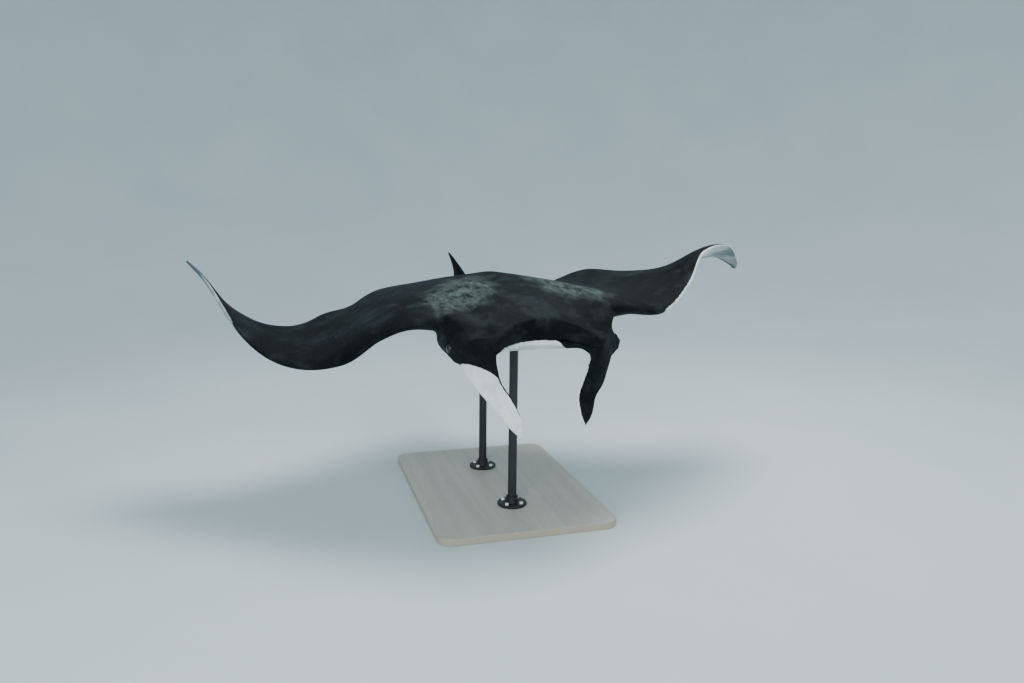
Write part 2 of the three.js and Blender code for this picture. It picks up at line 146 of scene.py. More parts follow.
# Bend lifts the wing outboard and twist lifts its rear edge, in degrees along the span;
# nose_lift raises its leading edge.
POSE_SPANS = [0, .08, .14, .20, .26, .32, .38, .44, .50]
WING_POSES = {
    1: {"bend": [0, 5, 10, 16, 21, 21.5, -3, -21, -22],
        "twist": [0, -1.5, 1.6, 6.7, -1.5, -17.3, -14.4, 2, 4],
        "nose_lift": [0, .012, .0135, .003, 0, 0, 0, 0, 0]},
    -1: {"bend": [0, 7, -3, -29.5, -22, 8.5, 39, 52.5, 33],
         "twist": [0, 2, 1.7, 1.2, 7.3, 7.4, 3.6, -4.6, -12],
         "nose_lift": [0, .004, .004, .001, 0, 0, 0, 0, 0]},
}


class Wing:
    """One side of the disc, with its bent mid line."""

    def __init__(self, side, bend, twist, nose_lift):
        self.side = side
        self.bend = curve(POSE_SPANS, np.radians(bend))
        self.twist = curve(POSE_SPANS, np.radians(twist))
        self.nose_lift = curve(POSE_SPANS, nose_lift)
        self.spans = np.linspace(0, .5, 1001)
        turn = self.bend((self.spans[1:] + self.spans[:-1]) / 2)
        step = self.spans[1]
        self.line_x = np.concatenate([[0], np.cumsum(np.cos(turn) * step)])
        self.line_z = np.concatenate([[0], np.cumsum(np.sin(turn) * step)])

    def pose(self, span, share, height):
        front, back = leading_edge(span), trailing_edge(span)
        pivot = front + (back - front) * WING_PIVOT
        y = front + (back - front) * share - pivot
        z = height + self.nose_lift(span) * (1 - share) ** 3
        turn, lift = self.twist(span), self.bend(span)
        over = y * np.sin(turn) + z * np.cos(turn)
        x = np.interp(span, self.spans, self.line_x) - over * np.sin(lift)
        up = np.interp(span, self.spans, self.line_z) + over * np.cos(lift)
        return np.stack([self.side * x, pivot + y * np.cos(turn) - z * np.sin(turn), up], -1)

    def flatten(self, points):
        """The other way: span, share of the chord and height of posed points."""
        x, y, z = self.side * points[:, 0], points[:, 1], points[:, 2]
        span = np.empty(len(x))
        coarse = slice(None, None, 5)
        for k in range(0, len(x), 20000):
            piece = slice(k, k + 20000)
            far = np.hypot(x[piece, None] - self.line_x[coarse], z[piece, None] - self.line_z[coarse])
            span[piece] = self.spans[coarse][far.argmin(1)]
        for _ in range(3):
            lift = self.bend(span)
            dx = x - np.interp(span, self.spans, self.line_x)
            dz = z - np.interp(span, self.spans, self.line_z)
            span = np.clip(span + dx * np.cos(lift) + dz * np.sin(lift), 0, .5)
        over = dz * np.cos(lift) - dx * np.sin(lift)
        front, back = leading_edge(span), trailing_edge(span)
        pivot = front + (back - front) * WING_PIVOT
        turn = self.twist(span)
        flat_y = pivot + (y - pivot) * np.cos(turn) + over * np.sin(turn)
        share = (flat_y - front) / (back - front)
        height = over * np.cos(turn) - (y - pivot) * np.sin(turn)
        return span, share, height - self.nose_lift(span) * (1 - np.clip(share, 0, 1)) ** 3


WINGS = {side: Wing(side, **pose) for side, pose in WING_POSES.items()}

# Shares of a chord for each number of points, closer together towards both of its edges.
SHARES = {count: (1 - np.cos(np.linspace(0, np.pi, count))) / 2 for count in (25, 33, 57, 161)}


def disc_rings(side, spans, count, shrink):
    """Rings of one side of the disc; shrink draws a ring in towards its mid line."""
    rings = []
    for span, less in zip(spans, shrink):
        share = SHARES[count]
        inner = share + (.5 - share) * less / 4
        top = WINGS[side].pose(span, inner, section_height(span, share, True) * (1 - less))
        bottom = WINGS[side].pose(span, inner, -section_height(span, share, False) * (1 - less))
        rings.append(place(np.concatenate([top, bottom[-2:0:-1]])))
    return rings


# The middle of the disc reaches a little into the wings, and each wing a little into the middle,
# where they sink under one another at a very flat angle.
SINK = 0.03
INTO_WING = 0.035
INTO_MIDDLE = 0.0125
middle_spans = np.linspace(0, WING_ROOT + INTO_WING, 81)
middle_shrink = SINK * np.clip((middle_spans - WING_ROOT) / INTO_WING, 0, 1)
middle = loft("middle", disc_rings(-1, middle_spans, 161, middle_shrink)[:0:-1]
              + disc_rings(1, middle_spans, 161, middle_shrink))
overlap = [WING_ROOT - INTO_MIDDLE, WING_ROOT - INTO_MIDDLE / 2]
wing_spans = np.concatenate([overlap, np.linspace(WING_ROOT, WING_END, 110)])
wing_shrink = SINK * np.clip((WING_ROOT - wing_spans) / INTO_MIDDLE, 0, 1)
wings = [loft("wing", disc_rings(side, wing_spans, 57, wing_shrink)) for side in (1, -1)]

# ---------------------------------------------------------------- head
# A broad flat head with the mouth across its front. The upper lip is a dark band that arches up in
# the middle, and a swelling on each side carries the eye.

HEAD_HALF_WIDTH = 0.099

crown = curve([0, .02, .05, .09, .13, .18], [.019, .0235, .0305, .0395, .0460, .0500])
throat = curve([.01, .03, .06, .11, .18], [-.0225, -.0255, -.031, -.039, -.047])
lip_front = curve(
    [0, .02, .04, .055, .064, .075, .09, .10],
    [.022, .0188, .0095, -.001, -.007, -.005, .008, .020])
lip_edge = curve([0, .02, .04, .055, .064, .10], [-.0105, -.0112, -.0135, -.0160, -.0180, -.0200])
brow_edge = curve([0, .03, .053, .069, .090, .10], [.0185, .0150, .0070, -.0035, -.0090, -.0120])
jaw_edge = curve([0, .05, .064, .10], [-.0212, -.0216, -.0230, -.0240])


# Down the lip: how far it lies behind its front line, less than 0 where it stands before it, and the
# share of its height.
LIP_PROFILE = [(.004, .01), (.0015, .04), (-.0005, .12), (-.0015, .25), (-.002, .40), (-.0018, .60),
               (-.001, .75), (.0002, .9)]


def head_slice(x):
    """Slice along the head: over the nape and brow, down the lip, and back along jaw and throat."""
    out = abs(x)
    front, lip, jaw, brow = lip_front(out), lip_edge(out), jaw_edge(out), brow_edge(out)

    def top(y):
        flank = crown(y) - (.013 + .007 * smoothstep(y, .05, .13)) * (out / HEAD_HALF_WIDTH) ** 2.2
        return brow + (flank - brow) * smoothstep(y, front, front + .055)

    outline = [(y, top(y)) for y in np.linspace(.18, front + .008, 28)]
    outline += [(front + behind, brow - (brow - lip) * down) for behind, down in LIP_PROFILE]
    outline += [(front + .001, lip + .0006), (front + .003, lip), (front + .0048, lip - .0010)]
    outline += [(front + .0042, (lip + jaw) / 2 - .0006), (front + .007, jaw + .0008),
               (front + .013, jaw - .0006)]
    outline += [(y, throat(y)) for y in np.linspace(front + .02, .18, 20)]
    y, z = np.array(outline).T
    roundness = math.sqrt(max(1 - (out / HEAD_HALF_WIDTH) ** 8, 0))
    middle_z = -.014
    z = middle_z + (z - middle_z) * roundness
    return place(np.stack([np.full(len(y), x), y + (1 - roundness) * .02, z], 1))


across_head = HEAD_HALF_WIDTH * np.sin(np.linspace(-1.52, 1.52, 91))
head_forms = [loft("head_core", [head_slice(x) for x in across_head])]


def smooth_line(points, samples):
    """Catmull-Rom line through points, sampled evenly by length, and its tangents."""
    p = np.asarray(points, float)
    p = np.concatenate([[2 * p[0] - p[1]], p, [2 * p[-1] - p[-2]]])
    t = np.linspace(0, 1, 60, endpoint=False)[:, None]
    pieces = []
    for before, start, end, after in zip(p, p[1:], p[2:], p[3:]):
        leave, arrive = (end - before) / 2, (after - start) / 2
        pieces.append(start + leave * t + (3 * (end - start) - 2 * leave - arrive) * t ** 2
                      + (leave + arrive - 2 * (end - start)) * t ** 3)
    line = np.concatenate(pieces + [p[-2:-1]])
    length = np.concatenate([[0], np.cumsum(np.linalg.norm(np.diff(line, axis=0), axis=1))])
    even = np.linspace(0, length[-1], samples)
    line = np.stack([np.interp(even, length, line[:, k]) for k in range(3)], 1)
    tangent = np.gradient(line, axis=0)
    return line, tangent / np.linalg.norm(tangent, axis=1, keepdims=True)


# Each flank runs from the front corner of the head back under the wing. Seen from the front its
# outline goes from the ridge in to a waist, out to the eye swelling and in again to the sole.
FLANK_Y = [.012, .020, .030, .040, .050, .062, .085, .115, .150]
ridge_x = curve(FLANK_Y, [.081, .0895, .0985, .1065, .1125, .1165, .1185, .113, .098])
ridge_z = curve(FLANK_Y, [-.009, -.001, .0085, .0150, .0180, .0195, .0205, .020, .014])
waist_x = curve(FLANK_Y, [.085, .0930, .1010, .1055, .1085, .1125, .1175, .112, .097])
waist_z = curve(FLANK_Y, [-.014, -.010, -.0055, -.0035, -.0030, -.0030, -.0030, -.002, 0])
swelling_x = curve(FLANK_Y, [.088, .0985, .1110, .1180, .1165, .1150, .1205, .110, .094])
swelling_z = curve(FLANK_Y, [-.0213, -.0220, -.0220, -.0215, -.0205, -.0200, -.0200, -.018, -.012])
sole_x = curve(FLANK_Y, [.082, .0910, .0990, .1035, .1045, .1050, .1060, .095, .084])
sole_z = curve(FLANK_Y, [-.033, -.0380, -.0410, -.0415, -.0405, -.0390, -.0380, -.034, -.022])


def flank_ring(y, side):
    ridge, sole = ridge_z(y), sole_z(y)
    outline = [(.050, ridge - .012), (.068, ridge - .002), (ridge_x(y) - .016, ridge + .002),
               (ridge_x(y), ridge - .003), (waist_x(y), waist_z(y)), (swelling_x(y), swelling_z(y)),
               (sole_x(y), sole), (sole_x(y) - .018, sole + .003), (.050, -.018)]
    line, _ = smooth_line([(x, y, z) for x, z in outline], 60)
    return place(line * (side, 1, 1))


for side in (1, -1):
    flank_ys = np.linspace(FLANK_Y[0], FLANK_Y[-1], 70)
    head_forms.append(loft("flank", [flank_ring(y, side) for y in flank_ys]))

# ---------------------------------------------------------------- head fins
# Two limber paddles that hang from the front corners of the head, thick and wide at the root, and
# thinner and narrower towards the tip. They funnel water to the mouth, and here they are half unrolled.

CEPHALIC_LINES = {
    1: [[.0790, .022, -.010], [.0810, .0125, -.028], [.0740, .0060, -.0500], [.0600, -.006, -.0650],
        [.0500, -.0150, -.0800], [.0450, -.026, -.0960], [.0410, -.035, -.1105]],
    -1: [[-.0800, .022, -.010], [-.0835, .0125, -.031], [-.0770, .0060, -.0515], [-.0690, 0, -.0670],
         [-.0582, -.0100, -.0830], [-.0482, -.0225, -.1010], [-.0405, -.035, -.1205]],
}
CEPHALIC_SPANS = [0, .18, .34, .50, .70, .88, 1]
cephalic_width = {  # the right fin is rolled up further, so its blade is narrower
    1: curve(CEPHALIC_SPANS, [.054, .051, .042, .036, .032, .022, .004]),
    -1: curve(CEPHALIC_SPANS, [.054, .051, .040, .0295, .0255, .0175, .003]),
}
cephalic_depth = curve([0, .18, .34, .50, .75, 1], [.028, .019, .011, .0075, .0055, .0028])
cephalic_turn = curve([0, .2, .5, 1], np.radians([48, 42, 28, 20]))


def cephalic_frame(side, samples):
    """Share along the fin, its middle line, and the directions across and out of its blade."""
    line, tangent = smooth_line(CEPHALIC_LINES[side], samples)
    t = np.linspace(0, 1, samples)
    turn = cephalic_turn(t)
    chord = np.stack([side * np.cos(turn), np.sin(turn), -.25 * (1 - t)], 1)
    chord -= tangent * (chord * tangent).sum(1, keepdims=True)
    chord /= np.linalg.norm(chord, axis=1, keepdims=True)
    return t, line, chord, np.cross(tangent, chord) * side


def blade(name, count, middles, chords, faces, widths, depths, cups):
    """Lens-shaped blade through stations along a line; cup bows it out of its plane."""
    share = SHARES[count]
    round_off = np.maximum(1 - (2 * share - 1) ** 2, 0)
    rings = []
    for centre, chord, face, width, depth, cup in zip(middles, chords, faces, widths, depths, cups):
        along = centre + np.outer((share - .5) * width, chord)
        top = along + np.outer(depth / 2 * np.sqrt(round_off) + cup * round_off, face)
        bottom = along + np.outer(-depth / 2 * np.sqrt(round_off) + cup * round_off, face)
        rings.append(place(np.concatenate([top, bottom[-2:0:-1]])))
    return loft(name, rings)


cephalic_fins = []
for side in (1, -1):
    t, line, chord, face = cephalic_frame(side, 70)
    cephalic_fins.append(blade("cephalic_fin", 33, line, chord, face, cephalic_width[side](t),
                               cephalic_depth(t), -.004 * np.sin(np.pi * t)))

# ---------------------------------------------------------------- dorsal fin, pelvic fins and tail
# A small upright fin in front of the tail that leans to the animal's right, two flat pelvic fins
# beside the tail's root, and a whip tail without a sting.

DORSAL_SKEW = .20  # the blade's rear turns to the animal's right by this slope
DORSAL_LEAN = .007  # and its tip leans that way by this much
DORSAL_ROOT = .398
DORSAL_HEIGHT = .054

t = np.linspace(0, 1, 40)
front = .392 + .076 * t ** 1.25
back = .466 + .010 * t ** 2 - .007 * np.sin(np.pi * t)
middle_y = (front + back) / 2
dorsal_x = -DORSAL_SKEW * (middle_y - DORSAL_ROOT) - DORSAL_LEAN * t ** 1.3
dorsal_line = np.stack([dorsal_x, middle_y, .012 + DORSAL_HEIGHT * t], 1)
dorsal_chords = [(-DORSAL_SKEW, 1, 0)] * len(t)
dorsal_faces = [(1, DORSAL_SKEW, 0)] * len(t)
rear_fins = [blade("dorsal_fin", 25, dorsal_line, dorsal_chords, dorsal_faces, back - front,
                   .010 * (1 - t) ** .8 + .0016, np.zeros(len(t)))]
pelvic_width = curve([0, .5, .85, 1], [.030, .028, .017, .004])
t = np.linspace(0, 1, 30)
for side in (1, -1):
    line = np.stack([side * (.023 + .014 * t), .420 + .080 * t, .002 - .006 * t], 1)
    rear_fins.append(blade("pelvic_fin", 25, line, [(1, 0, 0)] * len(t), [(0, 0, 1)] * len(t),
                           pelvic_width(t), .013 * (1 - t) + .0022, np.zeros(len(t))))

TAIL = {"root_y": .40, "root_z": .012, "length": .48, "droop": .066, "sway": .05, "flatness": .9,
        "around": 24}
tail_radius = curve([0, .08, .2, .5, 1], [.0150, .0105, .0062, .0034, .0013])


def tail_length(first, last, count):
    angle = np.linspace(0, 2 * np.pi, TAIL["around"], endpoint=False)
    rings = []
    for t in np.linspace(first, last, count):
        x = -TAIL["sway"] * t ** 1.5 * (1 - .6 * t) + tail_radius(t) * np.cos(angle)
        y = np.full(TAIL["around"], TAIL["root_y"] + TAIL["length"] * t)
        z = TAIL["root_z"] - TAIL["droop"] * t ** 1.6 + TAIL["flatness"] * tail_radius(t) * np.sin(angle)
        rings.append(place(np.stack([x, y, z], 1)))
    return loft("tail", rings)


tail_root = tail_length(0, .30, 60)
tail_whip = tail_length(.26, 1, 90)

# ---------------------------------------------------------------- one skin over all
# The forms above grow into one skin, with soft hollows where they meet. The gill slits, the spiracles
# and the rims round the eyes are folds of this skin, and the thin wings join it without a seam.

GRAIN = .0048  # size of the skin's mesh over the body
FILLING_ROUNDS = 60
LIP_END = .070  # the lip's corner, from the midline
EYE = {"x": .1130, "y": .040, "z": -.0210, "radius": .0065, "flatness": .75}
SOCKET = {"depth": .016, "inner": .014, "outer": .026, "rim_height": .0035, "rim_at": .031, "rim_width": .006}


def select(objects):
    bpy.ops.object.select_all(action="DESELECT")
    for one in objects:
        one.select_set(True)
    bpy.context.view_layer.objects.active = objects[0]


def apply_modifier(to, kind, **settings):
    modifier = to.modifiers.new(kind, kind)
    for name, value in settings.items():
        setattr(modifier, name, value)
    select([to])
    bpy.ops.object.modifier_apply(modifier=modifier.name)


def vertex_data(mesh, what):
    values = np.empty(len(mesh.vertices) * 3)
    mesh.vertices.foreach_get(what, values)
    return values.reshape(-1, 3)


def move_vertices(mesh, points):
    mesh.vertices.foreach_set("co", points.ravel())
    mesh.update()


def neighbour_step(points, edges):
    """From each vertex to the mean of its neighbours."""
    count = np.bincount(edges.ravel(), minlength=len(points))
    one, other = edges.T
    total = [np.bincount(one, points[other, k], len(points)) + np.bincount(other, points[one, k], len(points))
             for k in range(3)]
    return np.stack(total, 1) / count[:, None] - points


body = head_forms[0]
select([body, middle, tail_root] + head_forms[1:] + cephalic_fins + rear_fins)
bpy.context.view_layer.objects.active = body
bpy.ops.object.join()
body.name = "skin"
apply_modifier(body, "REMESH", mode="VOXEL", voxel_size=GRAIN, adaptivity=0)

skin = body.data
edges = np.empty(len(skin.edges) * 2, np.int32)
skin.edges.foreach_get("vertices", edges)
edges = edges.reshape(-1, 2)
points = vertex_data(skin, "co")


def in_shares(points):
    """Places on the skin back in shares of the disc width."""
    return (points - place([0, 0, 0])) / DISC_WIDTH


# Only hollow places move outwards, so edges and rims stay. The corner under the lip is kept. Then
# the skin is smoothed a little, without shrinking it.
shares = in_shares(points)
out = np.abs(shares[:, 0])
from_lip = np.hypot(shares[:, 1] - lip_front(out) - .004, shares[:, 2] - lip_edge(out) + .001)
fill = smoothstep(from_lip, .004, .010) + (out > LIP_END)
for filling in range(FILLING_ROUNDS):
    if filling % 6 == 0:
        move_vertices(skin, points)
        normals = vertex_data(skin, "normal")
    outwards = (neighbour_step(points, edges) * normals).sum(1)
    points += normals * (np.maximum(outwards, 0) * np.clip(fill, 0, 1))[:, None]
for _ in range(3):
    points += .6 * neighbour_step(points, edges)
    points -= .61 * neighbour_step(points, edges)
move_vertices(skin, points)

# Folds: along each line the skin sinks, and swells a little beside it. Each is a line of three points
# from the midline outwards, the side of the skin it is on, and its depth and half width in metres.
shares = in_shares(points)
normals = vertex_data(skin, "normal")
GILLS = [[(.034, .108 + .026 * k), (.064 - .003 * k, .1085 + .0262 * k), (.092 - .0065 * k, .096 + .0262 * k)]
         for k in range(5)]
SPIRACLE = [(.086, .083), (.092, .086), (.098, .085)]
sunk = np.zeros(len(points))
# Along each gill slit the colour is darkened: painted shade, standing in for the shade inside the open slit.
slit_painted_shade = np.zeros(len(points))
FOLDS = [(gill, -1, .018, .0075) for gill in GILLS] + [(SPIRACLE, 1, .010, .007)]
for slit, up, deep, wide in FOLDS:
    a, b, c = (np.array(corner) for corner in slit)
    t = np.linspace(0, 1, 40)[:, None]
    line = (1 - t) ** 2 * a + 2 * t * (1 - t) * (2 * b - (a + c) / 2) + t * t * c
    at_mouth = np.flatnonzero((normals[:, 2] * up > .2) & (np.abs(shares[:, 1] - b[1]) < .03)
                              & (np.abs(shares[:, 0]) < c[0] + .02))
    flat = np.stack([np.abs(shares[at_mouth, 0]), shares[at_mouth, 1]], 1)
    gaps = flat[:, None] - line[None]
    distance = np.hypot(gaps[..., 0], gaps[..., 1])
    nearest = distance.argmin(1)
    pick = np.arange(len(at_mouth))
    behind = np.sign(gaps[pick, nearest, 1]) * distance[pick, nearest] * DISC_WIDTH
    taper = np.sin(np.pi * np.clip(nearest / 39, .02, .98)) ** .5
    sunk[at_mouth] += taper * (deep * np.exp(-(behind / wide) ** 2)
                               - deep * .35 * np.exp(-((behind - 2.4 * wide) / (1.3 * wide)) ** 2))
    slit_painted_shade[at_mouth] = np.maximum(slit_painted_shade[at_mouth], taper * np.exp(-(behind / wide) ** 2))
for side in (1, -1):
    from_eye = np.hypot(shares[:, 1] - EYE["y"], shares[:, 2] - EYE["z"]) * DISC_WIDTH
    beside = side * shares[:, 0] > .095
    bowl = SOCKET["depth"] * (1 - smoothstep(from_eye, SOCKET["inner"], SOCKET["outer"]))
    rim = SOCKET["rim_height"] * np.exp(-((from_eye - SOCKET["rim_at"]) / SOCKET["rim_width"]) ** 2)
    sunk += np.where(beside, bowl - rim, 0)
points -= normals * sunk[:, None]
for _ in range(2):
    points += .5 * neighbour_step(points, edges) * np.clip(slit_painted_shade * 4, 0, 1)[:, None]
move_vertices(skin, points)
# The slits' painted shade is kept on the skin for its material.
slit_shade_attribute = skin.attributes.new("gill", "FLOAT", "POINT")
slit_shade_attribute.data.foreach_set("value", slit_painted_shade)

# The mouth is a slit under the lip, shallower and narrower towards its corners.
MOUTH_HALF_WIDTH = .068
MOUTH_CLOSES_AT = .0685
mouth_rings = []
for x in np.linspace(-MOUTH_HALF_WIDTH, MOUTH_HALF_WIDTH, 69):
    out = abs(x)
    opening = math.sqrt(max(1 - (out / MOUTH_CLOSES_AT) ** 4, 0))
    y, z = lip_front(out) + .003, lip_edge(out) - .0009
    section = [(-.012, .0002), (0, .0006), (.009, .0007), (.018 * opening + .001, 0), (.009, -.0007),
               (0, -.0008), (-.012, -.0004)]
    mouth_rings.append(place([(x, y + back, z + up * opening) for back, up in section]))
mouth = loft("mouth", mouth_rings)
apply_modifier(body, "BOOLEAN", operation="DIFFERENCE", solver="MANIFOLD", object=mouth)
bpy.data.objects.remove(mouth)

for other in wings + [tail_whip]:
    apply_modifier(body, "BOOLEAN", operation="UNION", solver="MANIFOLD", object=other)
    bpy.data.objects.remove(other)
skin.shade_smooth()

# Where the pale belly begins, as a distance in metres inside its edge. On the wings the edge runs
# along their rims: the dark back wraps under near the body, and outboard a white margin shows on top.
# That margin is partly the white underside showing at the rim and partly a painted highlight, widest along
# the rear edges.
points = vertex_data(skin, "co")
shares = in_shares(points)
left = shares[:, 0] >= 0
span, share, height = np.empty((3, len(points)))
for side, where in ((1, left), (-1, ~left)):
    span[where], share[where], height[where] = WINGS[side].flatten(shares[where])
chord = (trailing_edge(span) - leading_edge(span)) * DISC_WIDTH
from_front, from_back = np.maximum(share, 0) * chord, np.maximum(1 - share, 0) * chord
left_margin = curve(
    [0, .12, .16, .190, .205, .24, .35, .50],
    [-.03, -.06, -.05, -.015, .002, .004, .0045, .008])
right_margin = curve([0, .12, .20, .30, .38, .41, .50], [-.03, -.06, -.05, -.03, -.012, .004, .008])
front_margin_and_highlight = np.where(left, left_margin(span), right_margin(span))
# The white margin on top along the rear edge is partly a painted highlight, a bright rim of light along the
# edge.
back_margin_and_highlight = curve([0, .12, .16, .24, .38, .44, .50], [-.010, -.004, .008, .018, .018, .012, .010])(span)
pale = np.where(height > 0, np.maximum(front_margin_and_highlight - from_front, back_margin_and_highlight - from_back),
                np.minimum(front_margin_and_highlight + from_front, back_margin_and_highlight + from_back))

# On the head it runs below the lip, under the eye swellings and up to the wing's front edge.
out = np.abs(shares[:, 0])
left_jaw = curve([0, .022, .034, .062, .080, .12], [-.0128, -.0134, -.0225, -.036, -.0395, -.0395])
right_jaw = curve([0, .044, .058, .066, .080, .12], [-.0128, -.0150, -.0205, -.036, -.0395, -.0395])
jaw_pale = np.where(left, left_jaw(out), right_jaw(out))
rise = smoothstep(shares[:, 1], .055, .135)
flank = smoothstep(out, .06, .09)
edge_z = jaw_pale + (-.006 - jaw_pale) * rise * flank
head_pale = (edge_z - shares[:, 2]) * DISC_WIDTH
on_head = (1 - smoothstep(out, .112, .128)) * (1 - smoothstep(shares[:, 1], .11, .16))
pale = pale * (1 - on_head) + np.clip(head_pale, -.1, .1) * on_head

# On the head fins the outer face is white below a dark triangle at the root, and the inner face is
# dark with a white rim.
for side in (1, -1):
    t, line, chord_way, face = cephalic_frame(side, 160)
    near = np.flatnonzero((shares[:, 1] < .05) & (shares[:, 2] < -.02) & (shares[:, 0] * side > .02))
    gaps = shares[near, None] - line[None]
    nearest = (gaps ** 2).sum(2).argmin(1)
    gap = gaps[np.arange(len(near)), nearest]
    across = (gap * chord_way[nearest]).sum(1)
    over = (gap * face[nearest]).sum(1) + .004 * np.sin(np.pi * t[nearest])
    at = t[nearest]
    width, depth = cephalic_width[side](at), cephalic_depth(at)
    inner_edge, outer_edge = (across + width / 2) * DISC_WIDTH, (width / 2 - across) * DISC_WIDTH
    wraps = {-1: [-.007, -.007, -.007, -.006, -.004, .003, .006], 1: [-.006, 0, .010, .013, .013, .012, .008]}
    wrap = curve([0, .42, .50, .66, .80, .90, 1], wraps[side])(at)
    root = .18 + .27 * np.clip(.5 - across / width, 0, 1) ** 2.2 if side < 0 else .27
    beyond = (at - root) * .5
    outer_pale = np.minimum(np.minimum(inner_edge + wrap, outer_edge + .003), beyond)
    inner_pale = np.minimum(np.maximum(wrap - inner_edge, .003 * smoothstep(at, .7, .9) - outer_edge), beyond)
    fin_pale = np.where(over * side < 0, outer_pale, inner_pale)
    on_blade = (np.abs(across) < width / 2 + .006) & (np.abs(over) < depth / 2 + .012)
    belongs = smoothstep(at, .10, .17) * on_blade
    pale[near] = pale[near] * (1 - belongs) + fin_pale * belongs

behind = shares[:, 1] - .115
bar_place = np.hypot((out - .082 + .2 * behind) / .066, behind / np.where(behind < 0, .064, .160))
spot_place = np.hypot(out / .085, (shares[:, 1] - .30) / .12)
# The underside greys towards the wing tips and along the rear edges: partly the dusky margin a reef manta
# has, partly painted shade on the upturned outer wings.
rear_shade = (1 - smoothstep(from_back, .05, .16)) * smoothstep(span, .14, .30)
MARKINGS = {
    "pale": pale,
    "dusky_and_painted_shade": smoothstep(span, .30, .40) + rear_shade,
    "shoulder": 1 - smoothstep(bar_place, .20, 1.15),
    "spots": (1 - smoothstep(spot_place, .6, 1.0)) * (shares[:, 2] < 0),
}
for name, values in MARKINGS.items():
    skin.attributes.new(name, "FLOAT", "POINT").data.foreach_set("value", np.asarray(values, float))

# The patterns of the skin are drawn on the animal laid flat, so that a bent wing doesn't stretch them.
flat_y = share * chord + leading_edge(span) * DISC_WIDTH
laid_flat = np.stack([span * np.where(left, 1, -1) * DISC_WIDTH, flat_y, height * DISC_WIDTH], 1)
skin.attributes.new("laid_flat", "FLOAT_VECTOR", "POINT").data.foreach_set("vector", laid_flat.ravel())


def colour(hex_code):
    """Linear RGBA of an sRGB hex code."""
    parts = [int(hex_code[k:k + 2], 16) / 255 for k in (1, 3, 5)]
    return (*[c / 12.92 if c <= .04045 else ((c + .055) / 1.055) ** 2.4 for c in parts], 1)


def add(tree, kind, inputs=None, **settings):
    """Adds a shader node; each input is another node's socket to link or a value to set."""
    made = tree.nodes.new("ShaderNode" + kind)
    for name, value in settings.items():
        setattr(made, name, value)
    for socket, value in (inputs or {}).items():
        if isinstance(value, bpy.types.NodeSocket):
            tree.links.new(value, made.inputs[socket])
        else:
            made.inputs[socket].default_value = value
    return made


def new_material(name):
    made = bpy.data.materials.new(name)
    made.use_nodes = True
    made.node_tree.nodes.clear()
    return made, made.node_tree


def finish_material(tree, **inputs):
    """Principled surface with its inputs, by their names with _ for spaces."""
    shader = add(tree, "BsdfPrincipled", {name.replace("_", " "): value for name, value in inputs.items()})
    add(tree, "OutputMaterial", {"Surface": shader.outputs[0]})


def blend(tree, factor, first, second):
    mix = add(tree, "Mix", {0: factor, 6: first, 7: second}, data_type="RGBA")
    return mix.outputs[2]


# Ray skin: matt and leathery, set with tiny denticles under a thin film of slime, so light falls off
# it softly. Charcoal back with cloudy grey-green shoulder bars, chalk-white belly with a ragged edge.
ray_skin, tree = new_material("ray_skin")
spot = add(tree, "Attribute", attribute_name="laid_flat").outputs["Vector"]


# These four work in the material that is being made: its tree, and spot, the place on the piece.
def noise(scale_in_metres, detail=4, roughness=.55):
    return add(tree, "TexNoise", {"Vector": spot, "Scale": 1 / scale_in_metres, "Detail": detail,
                                  "Roughness": roughness}).outputs["Fac"]


def remap(value, low, high, to_low=0, to_high=1):
    return add(tree, "MapRange", {0: value, 1: low, 2: high, 3: to_low, 4: to_high}).outputs[0]


def field(name):
    return add(tree, "Attribute", attribute_name=name).outputs["Fac"]


def calculate(operation, first, second):
    return add(tree, "Math", {0: first, 1: second}, operation=operation).outputs[0]


mottle = noise(.060, 6, .6)
back = blend(tree, remap(noise(.35), .35, .65), colour("#0b0d0e"), colour("#131618"))
back = blend(tree, remap(mottle, .50, .75, 0, .5), back, colour("#242b2d"))
# Soft paler blotches, broken up at their edges.
back = blend(tree, remap(noise(.16, 8, .72), .50, .68, 0, .55), back, colour("#2d3638"))
# The shoulder bars are streaks 35 mm wide and about 90 mm long, within a ragged edge.
streaked = add(tree, "Mapping", {0: spot, 3: (1, .4, 1)}).outputs[0]
streak_noise = add(tree, "TexNoise", {"Vector": streaked, "Scale": 1 / .035, "Detail": 8, "Roughness": .75})
streaks = remap(streak_noise.outputs["Fac"], .38, .66, 0, .8)
bar_edge = calculate("ADD", field("shoulder"), remap(noise(.10, 5, .6), .3, .7, -.40, .15))
bar = calculate("MULTIPLY", remap(bar_edge, .05, .65), streaks)
back = blend(tree, bar, back, colour("#5f6b68"))
belly = blend(tree, remap(mottle, .35, .70), colour("#e9edea"), colour("#c9d2d1"))
# Grey on the underside of the outer wings and along their rear edges: partly the dusky margin, partly painted
# shade.
dusk_and_shade = calculate("MULTIPLY", field("dusky_and_painted_shade"), remap(noise(.12, 6, .6), .30, .60, .45, .9))
belly = blend(tree, dusk_and_shade, belly, colour("#515e63"))
dots = calculate("MULTIPLY", field("spots"), remap(noise(.045, 2, .4), .62, .66))
belly = blend(tree, dots, belly, colour("#2b3033"))
ragged = calculate("ADD", field("pale"), remap(noise(.012, 3), 0, 1, -.004, .004))
base = blend(tree, remap(ragged, -.0015, .0015), back, belly)
# Painted shade: the gill slits are darkened along their lines.
base = blend(tree, remap(field("gill"), .25, .8), base, colour("#22282b"))
wrinkle = add(tree, "Bump", {"Height": noise(.030, 8, .65), "Distance": .004, "Strength": .35})
finish_material(tree, Base_Color=base, Roughness=remap(mottle, .3, .7, .60, .74), IOR=1.38,
                Specular_IOR_Level=.10, Normal=wrinkle.outputs[0])
skin.materials.clear()
skin.materials.append(ray_skin)

